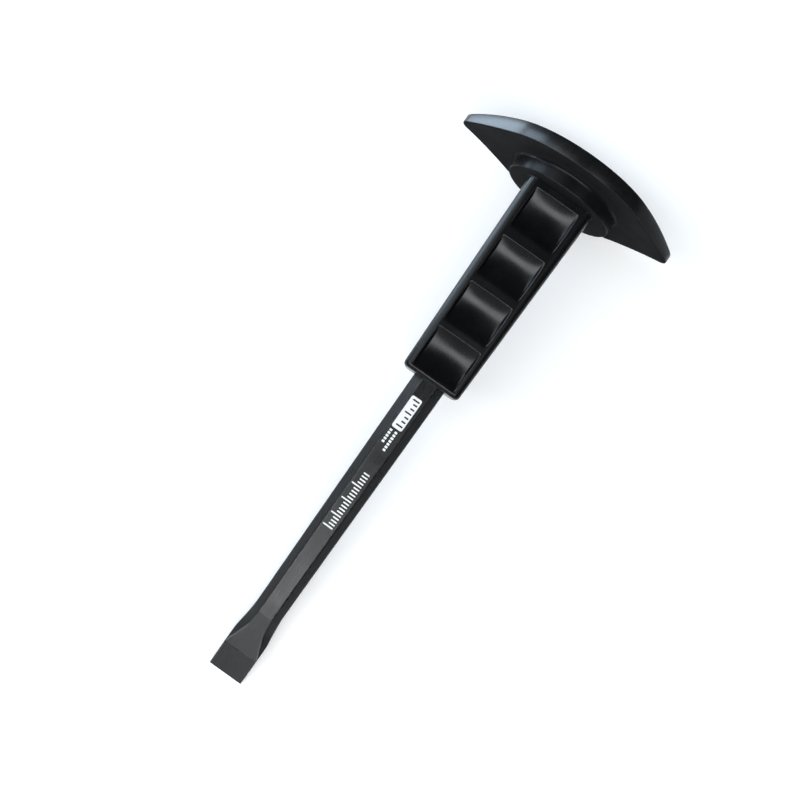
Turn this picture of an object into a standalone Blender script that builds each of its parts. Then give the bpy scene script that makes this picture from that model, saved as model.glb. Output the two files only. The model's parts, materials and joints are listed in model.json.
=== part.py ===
"""Flat cold chisel with a push-on hand guard.

Three pieces: a forged octagonal bar, a moulded finger grip and a moulded knuckle shield.
Each is modelled along its own +X axis, from the cutting edge towards the struck head, with the
finger scallops on +Z. The tool then lies on a surface, on its blade and on the shield's rim.
All sizes are in metres.
"""

import math

import bmesh
import bpy
from mathutils import Vector

# Steel bar: lengths are measured from the cutting edge
BAR_LENGTH = 0.300
SHANK_ACROSS_FLATS = 0.01715
WAIST_ACROSS_FLATS = 0.01505
WAIST_FROM_EDGE = 0.0386
BLADE_WIDTH = 0.0182
FLARE_LENGTH = 0.0161
EDGE_THICKNESS = 0.0006
GROUND_LENGTH = 0.0140
GROUND_THICKNESS = 0.0092
SQUARE_LENGTH = 0.0004
CORNER_RUNOUT = 0.0135
FACET_LENGTH = 0.0213
CORNER_BREAK = 0.0002
HEAD_TAPER = 0.0035
HEAD_FACE = 0.0132
CORNER_SHARE = 0.262
FLARE_CURVE = 1.6
RUNOUT_CURVE = 1.5

# Finger grip
GRIP_FROM_EDGE = 0.1693
GRIP_LENGTH = 0.1056
GRIP_WIDTH_LOWER = 0.0311
GRIP_WIDTH_UPPER = 0.0354
GRIP_DEPTH_LOWER = 0.0321
GRIP_DEPTH_UPPER = 0.0363
GRIP_FRONT_RADIUS = 0.0048
GRIP_BACK_RADIUS = 0.0096
GRIP_END_RADIUS = 0.0021
SCALLOP_COUNT = 4
SCALLOP_LENGTH = 0.0214
SCALLOP_WIDTH = 0.0235
SCALLOP_DEPTH = 0.0034
SCALLOP_PITCH_GROWTH = 0.0007
LOWER_LIP = 0.0031
UPPER_LAND = 0.0033
NECK_SIDE = 0.0257
NECK_RADIUS = 0.0054

# Knuckle shield
SHIELD_RADIUS = 0.0450
SHIELD_POINT = 0.0140
SHIELD_END_RADIUS = 0.0073
COLLAR_RADIUS = 0.0281
COLLAR_HEIGHT = 0.0096
DOME_HEIGHT = 0.0111
DOME_RADIUS = 0.1680
UNDERSIDE_RADIUS = 0.4500

# Fits
BORE_CLEARANCE = 0.0003
NECK_CLEARANCE = 0.0003
SEAT_CLEARANCE = 0.0003
CUT_OVERRUN = 0.0050

# Fineness of the round forms
CORNER_STEPS = 5
RUNOUT_STEPS = 7
CYLINDER_SIDES = 72
RIM_ARC_STEPS = 26
RIM_END_STEPS = 8
RIM_SIDE_STEPS = 6
DOME_RINGS = 5
UNDERSIDE_RINGS = 3


def clear_scene():
    for obj in list(bpy.data.objects):
        bpy.data.objects.remove(obj, do_unlink=True)


def finish(name, color, roughness, metallic):
    material = bpy.data.materials.new(name)
    material.use_nodes = True
    shader = material.node_tree.nodes["Principled BSDF"]
    shader.inputs["Base Color"].default_value = (*color, 1.0)
    shader.inputs["Roughness"].default_value = roughness
    shader.inputs["Metallic"].default_value = metallic
    return material


def empty(name, parent=None, along=0.0):
    axis = bpy.data.objects.new(name, None)
    bpy.context.collection.objects.link(axis)
    axis.parent = parent
    axis.location = (along, 0.0, 0.0)
    return axis


def mesh_object(name, bm, parent, material=None):
    bmesh.ops.recalc_face_normals(bm, faces=bm.faces)
    mesh = bpy.data.meshes.new(name)
    bm.to_mesh(mesh)
    bm.free()
    mesh.shade_smooth()
    mesh.set_sharp_from_angle(angle=math.radians(28))
    obj = bpy.data.objects.new(name, mesh)
    bpy.context.collection.objects.link(obj)
    obj.parent = parent
    if material:
        mesh.materials.append(material)
    return obj


def loft(rings):
    """Closed solid through rings of equal point count, with a flat cap at each end."""
    bm = bmesh.new()
    loops = [[bm.verts.new(point) for point in ring] for ring in rings]
    count = len(loops[0])
    for lower, upper in zip(loops, loops[1:]):
        for i in range(count):
            j = (i + 1) % count
            bm.faces.new((lower[i], lower[j], upper[j], upper[i]))
    bm.faces.new(loops[0])
    bm.faces.new(loops[-1])
    return bm


def cut(obj, cutter):
    cutter.hide_render = True
    cutter.display_type = "WIRE"
    boolean = obj.modifiers.new(cutter.name, "BOOLEAN")
    boolean.operation = "DIFFERENCE"
    boolean.solver = "EXACT"
    boolean.object = cutter


def blend(start, end, share):
    return start + (end - start) * min(max(share, 0.0), 1.0)


# Section rings, each at a place x along the axis


def chamfered_ring(x, width, thickness, corner):
    """Rectangle with its four corners cut at 45 degrees."""
    y = width / 2
    z = thickness / 2
    outline = [
        (y, z - corner), (y - corner, z), (corner - y, z), (-y, z - corner),
        (-y, corner - z), (corner - y, -z), (y - corner, -z), (y, corner - z),
    ]
    return [(x, a, b) for a, b in outline]


def octagon_ring(x, across_flats):
    return chamfered_ring(x, across_flats, across_flats, across_flats * CORNER_SHARE)


def rounded_ring(x, width, depth, front_radius, back_radius):
    """Rectangle with round corners, which may differ on its front (+Z) and its back."""
    ring = []
    quarters = ((1, 1, front_radius), (-1, 1, front_radius), (-1, -1, back_radius), (1, -1, back_radius))
    for quarter, (side, face, radius) in enumerate(quarters):
        y = side * (width / 2 - radius)
        z = face * (depth / 2 - radius)
        for step in range(CORNER_STEPS + 1):
            angle = math.pi / 2 * (quarter + step / CORNER_STEPS)
            ring.append((x, y + radius * math.cos(angle), z + radius * math.sin(angle)))
    return ring


# Steel bar


def shank_size(x):
    """Across flats: the waist's size up to the waist, then a straight taper to the grip."""
    taper = (x - WAIST_FROM_EDGE) / (GRIP_FROM_EDGE - WAIST_FROM_EDGE)
    return blend(WAIST_ACROSS_FLATS, SHANK_ACROSS_FLATS, taper)


def blade_width(x):
    """Full width at the blade, drawn in by a hollow curve to the waist."""
    share = blend(0.0, 1.0, (WAIST_FROM_EDGE - x) / FLARE_LENGTH)
    return shank_size(x) + (BLADE_WIDTH - WAIST_ACROSS_FLATS) * share ** FLARE_CURVE


def blade_thickness(x):
    """Ground edge, then the forged facet, then the octagon."""
    if x <= GROUND_LENGTH:
        return blend(EDGE_THICKNESS, GROUND_THICKNESS, x / GROUND_LENGTH)
    return blend(GROUND_THICKNESS, shank_size(x), (x - GROUND_LENGTH) / FACET_LENGTH)


def corner_cut(x):
    """The octagon's corner cuts run out in a curve to nearly square blade corners."""
    share = blend(0.0, 1.0, (GROUND_LENGTH + SQUARE_LENGTH + CORNER_RUNOUT - x) / CORNER_RUNOUT)
    corner = max(CORNER_SHARE * shank_size(x) * (1 - share ** RUNOUT_CURVE), CORNER_BREAK)
    return min(corner, blade_thickness(x) / 3)


def build_bar(parent):
    square_end = GROUND_LENGTH + SQUARE_LENGTH
    places = {0.0, GROUND_LENGTH, GROUND_LENGTH + FACET_LENGTH, WAIST_FROM_EDGE, GRIP_FROM_EDGE}
    places.update(square_end + CORNER_RUNOUT * step / RUNOUT_STEPS for step in range(RUNOUT_STEPS + 1))
    places.update(WAIST_FROM_EDGE - FLARE_LENGTH * step / RUNOUT_STEPS for step in range(RUNOUT_STEPS + 1))
    rings = [
        chamfered_ring(x, blade_width(x), blade_thickness(x), corner_cut(x))
        for x in sorted(places)
    ]
    rings.append(octagon_ring(BAR_LENGTH - HEAD_TAPER, SHANK_ACROSS_FLATS))
    rings.append(octagon_ring(BAR_LENGTH, HEAD_FACE))
    steel = finish("black_steel", (0.045, 0.047, 0.050), 0.42, 0.85)
    return mesh_object("chisel_bar", loft(rings), parent, steel)


# Finger grip: places are measured from its lower end


def grip_depth(x):
    return blend(GRIP_DEPTH_LOWER, GRIP_DEPTH_UPPER, x / GRIP_LENGTH)


def grip_ring(x, inset=0.0):
    width = blend(GRIP_WIDTH_LOWER, GRIP_WIDTH_UPPER, x / GRIP_LENGTH) - 2 * inset
    front = GRIP_FRONT_RADIUS - inset
    back = GRIP_BACK_RADIUS - inset
    return rounded_ring(x, width, grip_depth(x) - 2 * inset, front, back)


def neck_ring(x, clearance=0.0):
    side = NECK_SIDE + 2 * clearance
    radius = NECK_RADIUS + clearance
    return rounded_ring(x, side, side, radius, radius)


def scallop_crests():
    """Upper ends of the scallops. The pitch grows towards the head, as the grip does."""
    lowest = LOWER_LIP + SCALLOP_LENGTH
    mean_pitch = (GRIP_LENGTH - UPPER_LAND - lowest) / (SCALLOP_COUNT - 1)
    crests = [lowest]
    for gap in range(SCALLOP_COUNT - 1):
        growth = (gap - (SCALLOP_COUNT - 2) / 2) * SCALLOP_PITCH_GROWTH
        crests.append(crests[-1] + mean_pitch + growth)
    return crests


def scallop_cutter(parent):
    """Round bars lying across the grip's front, one for each finger."""
    radius = (SCALLOP_LENGTH ** 2 / 4 + SCALLOP_DEPTH ** 2) / (2 * SCALLOP_DEPTH)
    bm = bmesh.new()
    for crest in scallop_crests():
        middle = crest - SCALLOP_LENGTH / 2
        height = grip_depth(middle) / 2 - SCALLOP_DEPTH + radius
        ends = []
        for y in (-SCALLOP_WIDTH / 2, SCALLOP_WIDTH / 2):
            circle = []
            for side in range(CYLINDER_SIDES):
                angle = 2 * math.pi * side / CYLINDER_SIDES
                place = (middle + radius * math.cos(angle), y, height + radius * math.sin(angle))
                circle.append(bm.verts.new(place))
            ends.append(circle)
            bm.faces.new(circle)
        for side in range(CYLINDER_SIDES):
            after = (side + 1) % CYLINDER_SIDES
            bm.faces.new((ends[0][side], ends[0][after], ends[1][after], ends[1][side]))
    return mesh_object("scallop_cutter", bm, parent)


def build_grip(parent):
    rings = []
    for step in range(CORNER_STEPS + 1):
        angle = math.pi / 2 * step / CORNER_STEPS
        inset = GRIP_END_RADIUS * (1 - math.sin(angle))
        rings.append(grip_ring(GRIP_END_RADIUS * (1 - math.cos(angle)), inset))
    rings.append(grip_ring(GRIP_LENGTH))
    rings.append(neck_ring(GRIP_LENGTH))
    rings.append(neck_ring(neck_end()))
    rubber = finish("black_grip", (0.020, 0.021, 0.023), 0.48, 0.0)
    grip = mesh_object("grip_sleeve", loft(rings), parent, rubber)
    bore = SHANK_ACROSS_FLATS + 2 * BORE_CLEARANCE
    bore_rings = [octagon_ring(x, bore) for x in (-CUT_OVERRUN, neck_end() + CUT_OVERRUN)]
    cut(grip, mesh_object("bar_bore_cutter", loft(bore_rings), parent))
    cut(grip, scallop_cutter(parent))
    return grip


# Knuckle shield: places are measured from the grip's lower end, like the grip's


def collar_face():
    return GRIP_LENGTH + SEAT_CLEARANCE


def dome_top(radius):
    sag = DOME_RADIUS - math.sqrt(DOME_RADIUS ** 2 - radius ** 2)
    return collar_face() + COLLAR_HEIGHT + DOME_HEIGHT - sag


def underside(radius):
    sag = UNDERSIDE_RADIUS - math.sqrt(UNDERSIDE_RADIUS ** 2 - radius ** 2)
    return collar_face() + COLLAR_HEIGHT - sag


def neck_end():
    """The grip's neck comes out flush with the dome."""
    return dome_top(NECK_SIDE / 2 + NECK_CLEARANCE)


def arc(middle, radius, start, end, steps):
    angles = [blend(start, end, step / steps) for step in range(steps + 1)]
    return [Vector((middle + radius * math.cos(angle), radius * math.sin(angle))) for angle in angles]


def rim_outline():
    """Round plate with two pointed ends: a disc, two small end arcs and their common tangents."""
    end_middle = SHIELD_RADIUS + SHIELD_POINT - SHIELD_END_RADIUS
    lean = math.acos((SHIELD_RADIUS - SHIELD_END_RADIUS) / end_middle)
    turn = 2 * math.pi
    arcs = [
        arc(end_middle, SHIELD_END_RADIUS, -lean, lean, RIM_END_STEPS),
        arc(0.0, SHIELD_RADIUS, lean, turn / 2 - lean, RIM_ARC_STEPS),
        arc(-end_middle, SHIELD_END_RADIUS, turn / 2 - lean, turn / 2 + lean, RIM_END_STEPS),
        arc(0.0, SHIELD_RADIUS, turn / 2 + lean, turn - lean, RIM_ARC_STEPS),
    ]
    points = []
    for this, after in zip(arcs, arcs[1:] + arcs[:1]):
        points.extend(this)
        points.extend(this[-1].lerp(after[0], step / RIM_SIDE_STEPS) for step in range(1, RIM_SIDE_STEPS))
    return points


def build_shield(parent):
    outline = rim_outline()

    def ring(share, start_radius, height):
        """Ring between a circle on the axis and the rim, at the height that its radius has."""
        points = []
        for rim in outline:
            place = (rim.normalized() * start_radius).lerp(rim, share)
            points.append((height(place.length), place.x, place.y))
        return points

    rings = [ring(0.0, COLLAR_RADIUS, lambda radius: collar_face())]
    rings.extend(ring(step / UNDERSIDE_RINGS, COLLAR_RADIUS, underside) for step in range(UNDERSIDE_RINGS + 1))
    rings.extend(ring(1 - step / DOME_RINGS, NECK_SIDE / 4, dome_top) for step in range(DOME_RINGS + 1))
    rubber = finish("black_shield", (0.018, 0.019, 0.021), 0.52, 0.0)
    shield = mesh_object("guard_shield", loft(rings), parent, rubber)
    hole = [neck_ring(x, NECK_CLEARANCE) for x in (GRIP_LENGTH - CUT_OVERRUN, neck_end() + CUT_OVERRUN)]
    cut(shield, mesh_object("neck_bore_cutter", loft(hole), parent))
    return shield


# Resting pose


def world_points(obj):
    evaluated = obj.evaluated_get(bpy.context.evaluated_depsgraph_get())
    return [evaluated.matrix_world @ vertex.co for vertex in evaluated.data.vertices]


def lay_down(axis, pieces):
    """Tip the tool onto the blade's ground line and the shield's rim, over the middle of its box."""
    rim = Vector((GRIP_FROM_EDGE + underside(SHIELD_RADIUS), SHIELD_RADIUS))
    heel = Vector((GROUND_LENGTH, GROUND_THICKNESS / 2))
    axis.rotation_euler = (0.0, -math.atan2(rim.y - heel.y, rim.x - heel.x), 0.0)
    bpy.context.view_layer.update()
    points = [point for piece in pieces for point in world_points(piece)]
    low = Vector(min(point[i] for point in points) for i in range(3))
    high = Vector(max(point[i] for point in points) for i in range(3))
    middle = (low + high) / 2
    axis.location = (-middle.x, -middle.y, -low.z)
    bpy.context.view_layer.update()


def main():
    clear_scene()
    tool_axis = empty("tool_axis")
    guard_axis = empty("guard_axis", tool_axis, GRIP_FROM_EDGE)
    pieces = [build_bar(tool_axis), build_grip(guard_axis), build_shield(guard_axis)]
    lay_down(tool_axis, pieces)


main()
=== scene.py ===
"""Dressed model of a flat cold chisel with a push-on hand guard, lying on a pale floor.

Each piece is shaped in the tool's own axes, in metres: X runs from the cutting edge to the struck
head, Y runs across the blade and Z comes out of the finger scallops. It is then laid into the frame.
"""

import json
import math

import bmesh
import bpy
from mathutils import Matrix, Vector


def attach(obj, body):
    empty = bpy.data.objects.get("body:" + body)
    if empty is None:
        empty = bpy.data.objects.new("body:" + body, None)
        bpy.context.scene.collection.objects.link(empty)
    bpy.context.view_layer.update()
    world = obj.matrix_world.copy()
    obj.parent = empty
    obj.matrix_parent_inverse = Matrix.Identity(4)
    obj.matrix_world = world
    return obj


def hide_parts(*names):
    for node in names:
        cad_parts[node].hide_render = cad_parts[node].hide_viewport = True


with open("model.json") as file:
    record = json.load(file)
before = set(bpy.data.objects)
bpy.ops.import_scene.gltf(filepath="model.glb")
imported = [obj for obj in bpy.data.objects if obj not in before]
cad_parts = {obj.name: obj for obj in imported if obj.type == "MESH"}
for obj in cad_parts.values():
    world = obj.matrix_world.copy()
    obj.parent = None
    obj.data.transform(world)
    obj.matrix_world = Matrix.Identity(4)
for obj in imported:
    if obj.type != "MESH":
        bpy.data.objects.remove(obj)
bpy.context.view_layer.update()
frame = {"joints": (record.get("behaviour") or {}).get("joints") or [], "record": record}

# Steel bar: places are measured from the cutting edge
BAR_LENGTH = 0.300
SHANK_ACROSS_FLATS = 0.01715
WAIST_ACROSS_FLATS = 0.01505
WAIST_FROM_EDGE = 0.0386
BLADE_WIDTH = 0.0182
FLARE_LENGTH = 0.0161
FLARE_CURVE = 1.6
EDGE_THICKNESS = 0.0006
GROUND_LENGTH = 0.0140
GROUND_THICKNESS = 0.0092
FACET_LENGTH = 0.0213
FACET_TOP = GROUND_LENGTH + FACET_LENGTH
SQUARE_LENGTH = 0.0004
CORNER_RUNOUT = 0.0135
RUNOUT_CURVE = 1.5
CORNER_BREAK = 0.0002
CORNER_SHARE = 0.262
HEAD_TAPER = 0.0035
HEAD_FACE = 0.0132
# Sections from the grip down to the edge, closer together where the blade curves
BLADE_STATIONS = (
    0.1050, 0.0410, 0.0386, 0.0364, 0.0353, 0.0343, 0.0330, 0.0305, 0.0279, 0.0260, 0.0243,
    0.0225, 0.0208, 0.0190, 0.0173, 0.0158, 0.0144, 0.0140, 0.0132, 0.0021, 0.0,
)
LONG_CREASE = 0.56
RING_CREASE = 0.62
BAR_SMOOTHING = 4

# Finger grip: places are measured from its lower end
GRIP_FROM_EDGE = 0.1693
GRIP_LENGTH = 0.1056
GRIP_WIDTH_LOWER = 0.0311
GRIP_WIDTH_UPPER = 0.0354
GRIP_DEPTH_LOWER = 0.0321
GRIP_DEPTH_UPPER = 0.0363
GRIP_FRONT_RADIUS_LOWER = 0.0034
GRIP_FRONT_RADIUS_UPPER = 0.0044
GRIP_BACK_RADIUS = 0.0096
GRIP_END_RADIUS = 0.0021
GRIP_SMOOTHING = 2
NECK_SIDE = 0.0257
BORE_CLEARANCE = 0.0003
EDGE_SUPPORT = 0.0002

# Finger scallops on the grip's front
SCALLOP_COUNT = 4
SCALLOP_LENGTH = 0.0214
SCALLOP_WIDTH = 0.0235
SCALLOP_HALF = SCALLOP_WIDTH / 2
SCALLOP_DEPTH = 0.0034
SCALLOP_PITCH_GROWTH = 0.0007
SCALLOP_DISH = 0.12
SCALLOP_DISH_CURVE = 2.5
SCALLOP_SKEW = 0.10
SCALLOP_END_WALL = 0.0011
SCALLOP_FLOOR = SCALLOP_HALF - SCALLOP_END_WALL
SCALLOP_SIDE_ROUND = 0.0008
SCALLOP_LOWER_ROUND = 0.0012
LOWER_LIP = 0.0031
UPPER_LAND = 0.0033
# Shares of a scallop's length, of its half floor and of its end wall where the grip is sliced
SCALLOP_ROWS = (0.0, 0.02, 0.10, 0.22, 0.36, 0.50, 0.64, 0.78, 0.90, 1.0)
DISH_COLUMNS = (0.3, 0.55, 0.75, 0.9, 1.0)
WALL_COLUMNS = (0.6, 0.3, 0.0)

# Knuckle shield: places are measured from the grip's lower end
SHIELD_RADIUS = 0.0450
SHIELD_POINT = 0.0140
SHIELD_END_RADIUS = 0.0073
SHIELD_SIDES = 128
SHIELD_END_SIDES = 48
SHIELD_PLATE = 0.004
COLLAR_RADIUS = 0.0281
COLLAR_HEIGHT = 0.0096
COLLAR_FILLET = 0.0030
COLLAR_EDGE = 0.0009
DOME_HEIGHT = 0.0111
DOME_RADIUS = 0.1680
UNDERSIDE_RADIUS = 0.4500
RIM_BREAK = 0.0006
SEAT_CLEARANCE = 0.0003
NECK_CLEARANCE = 0.0003
NECK_RADIUS = 0.0054
# Size of the outline drawn in on each side, as a share of the rim's
UNDERSIDE_RING = 0.6
DOME_RING = 0.1
# An edge of the outline longer than this is divided, and so is a line drawn in from it
LONG_RIM = 0.008
RIM_CUTS = 9
LONG_SPOKE = 0.006
SPOKE_CUTS = 7
SPOKE_SLACK = 0.0005
SPOKE_REACH = COLLAR_RADIUS + COLLAR_FILLET + SPOKE_SLACK

# White marks on the bar's upper flat: places are measured from the cutting edge
MARKS_ACROSS = 0.0004
PAINT_THICKNESS = 0.00004
PAINT_SINK = 0.00003
PAINT_CORNER = 0.16
BLOCK_FROM_EDGE = 0.1428
BLOCK_LENGTH = 0.0176
BLOCK_WIDTH = 0.0057
# Place and width of each slot in the block
BLOCK_SLOTS = (
    (0.0016, 0.0036), (0.0040, 0.0022), (0.0064, 0.0022), (0.0088, 0.0036),
    (0.0112, 0.0022), (0.0136, 0.0022), (0.0156, 0.0036),
)
SLOT_LENGTH = 0.0008
SLOT_INSET = 0.0007
SLOT_CUT = 0.001
# Place across the flat and count of each row of dashes
DASH_ROWS = ((0.0018, 5), (-0.0010, 7))
DASH_GAP = 0.0012
DASH_LENGTH = 0.0011
DASH_WIDTH = 0.0014
DASH_PITCH = 0.0016
SCALE_FROM_EDGE = 0.0866
SCALE_TICKS = 19
SCALE_STEP = 5
SCALE_PITCH = 0.00168
TICK_LENGTH = 0.0007
LONG_TICK = 0.0054
SHORT_TICK = 0.0032

# How far a cutter runs past what it cuts
CUT_PAST = 0.005

# How near counts as the same place, and how straight as one direction
TOUCH = 1e-6
NEAR = 10 * TOUCH
COLLAR_TOUCH = 0.0002
END_ON = 0.99
MOSTLY = 0.9
SLANTED = 0.3
SQUARE_ON = 0.05
SHARP = math.radians(30.0)
FLAT_ENOUGH = math.radians(0.5)
CRISP_RADIUS = 0.0005

# Directions in the tool's axes
ALONG = (1.0, 0.0, 0.0)
ACROSS = (0.0, 1.0, 0.0)

# Camera, in the tool's axes
LENS = 45.0
SENSOR = 36.0
CAMERA_PLACE = (0.1549, 0.0069, 0.4783)
CAMERA_ROLL = math.radians(-54.8)
CAMERA_SIDE = math.radians(1.0)

# Colours of the steel: coating, ground tip, and where it is rubbed, scratched, worn with a painted edge
# highlight, or burred
COAT_DARK = (0.0040, 0.0042, 0.0046, 1.0)
COAT_LIGHT = (0.0072, 0.0075, 0.0081, 1.0)
GROUND_DARK = (0.020, 0.0203, 0.0206, 1.0)
GROUND_LIGHT = (0.036, 0.0364, 0.0368, 1.0)
RUBBED_FACET = (0.027, 0.0282, 0.030, 1.0)
SCRATCHED_STEEL = (0.050, 0.051, 0.053, 1.0)
WORN_AND_HIGHLIT_STEEL = (0.120, 0.123, 0.128, 1.0)
BURRED_STEEL = (0.004, 0.004, 0.0042, 1.0)

# Finish of the steel: its lines, where its masks start and end, how far each shows, and its roughness
STEEL_SPECULAR = 0.34
DRAWN_STRETCH = (60.0, 1500.0, 1500.0)
GROUND_STRETCH = (90.0, 2600.0, 900.0)
GROUND_LINES = (0.3, 0.75)
GROUND_RAGGED = (-0.0003, 0.0003)
GROUND_BLUR = (-0.0002, 0.0003)
BURR_WIDTH = (0.0001, 0.0007)
BURR_PATCHES = (0.42, 0.58)
FACET_BLUR = 0.0004
FACET_FACING = (0.82, 0.94)
FACET_RUBBING = (0.7, 1.0)
STEEL_SCRATCHES = 0.16
# How far crisp edges lighten: wear to bare steel and a painted highlight
STEEL_WEAR_AND_HIGHLIGHT = 0.85
STEEL_BURR = 0.8
STEEL_ROUGHNESS = (0.27, 0.35)
GROUND_ROUGHER = 0.10
BURR_ROUGHER = 0.25
SKIN_SHARE = 0.55
DRAWN_SHARE = 0.45
GROUND_SHARE = 0.8
STEEL_RELIEF = 0.000012

# Finishes of the two mouldings; the shield's dome and rim are glossier, and its underside is dusty. The
# rubbed colour marks scuffs, and on crisp edges it is wear and a painted highlight
GRIP_FINISH = {
    "specular": 0.26,
    "dark": (0.0028, 0.0029, 0.0031, 1.0),
    "light": (0.0044, 0.0045, 0.0048, 1.0),
    "rubbed": (0.026, 0.027, 0.029, 1.0),
    "rough": (0.23, 0.30),
    "relief": 0.000006,
}
SHIELD_FINISH = {
    "specular": 0.05,
    "dark": (0.0022, 0.0023, 0.0025, 1.0),
    "light": (0.0036, 0.0037, 0.0040, 1.0),
    "rubbed": (0.022, 0.023, 0.025, 1.0),
    "rough": (0.78, 0.88),
    "relief": 0.000008,
}
RUBBER_SCRATCHES = 0.05
# How far crisp edges take the rubbed colour: wear and a painted highlight
RUBBER_WEAR_AND_HIGHLIGHT = 0.6
GLOSS_ROUGHNESS = 0.26
GLOSS_IOR = 1.4
GLOSS_FACING = (0.35, 0.75)
GLOSS_FROM = (0.030, 0.040)
GLOSS_LEVEL = (0.3, 1.0)
DUST = (0.0110, 0.0113, 0.0118, 1.0)
DUST_FACING = (0.5, 0.9)

# Finish of the white marks
PAINT_SPECULAR = 0.4
PAINT_DARK = (0.70, 0.70, 0.70, 1.0)
PAINT_LIGHT = (0.84, 0.84, 0.84, 1.0)
PAINT_CHIP = (0.10, 0.10, 0.105, 1.0)
CHIP_PATCHES = (0.66, 0.74)
CHIP_SHARE = 0.55
PAINT_ROUGHNESS = (0.48, 0.60)
PAINT_RELIEF = 0.000006

# Shared effects: where their masks start and end, and how far they change the roughness
NOISE_SPAN = (0.3, 0.7)
CLOUD_SPAN = (0.3, 0.72)
# Crisp-edge mask for wear and a painted edge highlight: its gain from the patches, then where it starts and
# ends
EDGE_WEAR_AND_HIGHLIGHT_GAIN = (0.45, 1.25)
EDGE_WEAR_AND_HIGHLIGHT_SPAN = (0.25, 0.95)
SCRATCH_SPAN = (0.68, 0.74)
SCRATCHED_PATCHES = (0.42, 0.6)
SMUDGE_SPAN = (0.35, 0.68)
ROUGHNESS_GRAIN = (-0.03, 0.03)
# Turn and stretch of each run of scratches
SCRATCH_RUNS = (
    ((0.3, 0.2, 0.45), (0.06, 1.0, 1.0)),
    ((-0.2, 0.4, -1.1), (0.08, 1.0, 1.0)),
)

# Stage
FLOOR_SIZE = 40.0
FLOOR_DARK = (0.80, 0.80, 0.80, 1.0)
FLOOR_LIGHT = (0.81, 0.81, 0.81, 1.0)
FLOOR_SPECKS = 30.0
FLOOR_GLOW = 0.32
FLOOR_FAR_GLOW = 0.80
FLOOR_GLOW_FROM = (1.0, 3.0)
CARD_PLACE = (0.10, -0.42, 0.14)
CARD_LENGTH = 1.3
CARD_HEIGHT = 0.28
CARD_DARK = (0.010, 0.010, 0.010, 1.0)
CARD_LIGHT = (0.016, 0.016, 0.016, 1.0)
CARD_WEAVE = 400.0
CARD_ROUGHNESS = 0.9
ROOM_LOW = (0.11, 0.118, 0.126, 1.0)
ROOM_HIGH = (0.035, 0.036, 0.038, 1.0)
ROOM_FADE = 0.55

# Soft boxes in the tool's axes: place, aim, size, radiance, colour and where the second size runs
GRIP_MIDDLE = (0.225, 0.0, 0.0)
LAMPS = {
    "main_box": ((-0.524, 0.0, 1.854), GRIP_MIDDLE, (0.54, 4.4), 8.5, (0.95, 0.98, 1.0), ACROSS),
    "blade_glow": ((-0.75, 0.0, 0.75), (0.155, 0.0, 0.0), (0.5, 0.9), 0.5, (1.0, 1.0, 1.0), ACROSS),
    "left_fill": ((0.22, 0.84, 1.85), GRIP_MIDDLE, (0.55, 0.80), 1.8, (0.90, 0.96, 1.0), ACROSS),
    "right_fill": ((0.22, -0.84, 1.85), GRIP_MIDDLE, (0.55, 0.80), 1.0, (0.95, 0.98, 1.0), ACROSS),
    "left_box": (
        (0.325, 0.40, -0.028), (0.325, 0.0, -0.028), (0.060, 0.22), 16.5, (0.64, 0.82, 1.0), ALONG,
    ),
    "left_glow": ((0.375, 0.80, 0.30), (0.26, 0.0, 0.0), (0.45, 0.31), 8.2, (0.66, 0.83, 1.0), ALONG),
    "left_high": ((0.29, 0.64, 0.70), (0.24, 0.0, 0.0), (0.36, 0.30), 2.7, (0.80, 0.90, 1.0), ALONG),
}


def tool_axes():
    """The tool's own axes in the frame, from the joint that the guard slides on and the struck head."""
    along = Vector(frame["joints"][0]["axis"]).normalized()
    head = next(m for m in frame["record"]["mounts"] if m["name"] == "struck_head")
    across = Vector(ACROSS)
    out = along.cross(across)
    edge = Vector(head["pos_m"]) - along * BAR_LENGTH
    turned = Matrix((along, across, out)).transposed().to_4x4()
    return Matrix.Translation(edge) @ turned


TOOL = tool_axes()
TILT = math.atan2(TOOL[2][0], TOOL[0][0])


def blend(start, end, share):
    return start + (end - start) * min(max(share, 0.0), 1.0)


# Modelling by hand


def add(primitive, name, **shape):
    """Add a primitive at its size and place, with nothing else selected."""
    bpy.ops.object.select_all(action="DESELECT")
    primitive(**shape)
    piece = bpy.context.active_object
    piece.name = name
    piece.data.name = name
    bpy.ops.object.transform_apply(location=True, rotation=True, scale=True)
    return piece


def add_block(name, start, length, width, depth, y=0.0, z=0.0):
    """Add a block that runs along X from its start, with its middle at y and z."""
    place = (start + length / 2, y, z)
    size = (length, width, depth)
    return add(bpy.ops.mesh.primitive_cube_add, name, size=1.0, location=place, scale=size)


def only(piece):
    bpy.ops.object.select_all(action="DESELECT")
    piece.select_set(True)
    bpy.context.view_layer.objects.active = piece


def join(piece, others):
    only(piece)
    for other in others:
        other.select_set(True)
    bpy.ops.object.join()


def edit(piece):
    only(piece)
    bpy.ops.object.mode_set(mode="EDIT")


def close():
    bpy.ops.object.mode_set(mode="OBJECT")


def pick(piece, kind, test):
    """Select what passes the test, alone, among the piece's VERT, EDGE or FACE elements, and count it."""
    bpy.ops.mesh.select_mode(type=kind)
    bpy.ops.mesh.select_all(action="DESELECT")
    bm = bmesh.from_edit_mesh(piece.data)
    elements = {"VERT": bm.verts, "EDGE": bm.edges, "FACE": bm.faces}[kind]
    count = 0
    for element in elements:
        if test(element):
            element.select_set(True)
            count += 1
    bm.select_flush_mode()
    bmesh.update_edit_mesh(piece.data)
    return count


def pick_all():
    bpy.ops.mesh.select_all(action="SELECT")


def middle(edge):
    return (edge.verts[0].co + edge.verts[1].co) / 2


def direction(edge):
    return (edge.verts[1].co - edge.verts[0].co).normalized()


def lengthwise(edge, least=MOSTLY):
    return abs(direction(edge).x) > least


def crosswise(edge):
    return abs(direction(edge).x) < SQUARE_ON


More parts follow.
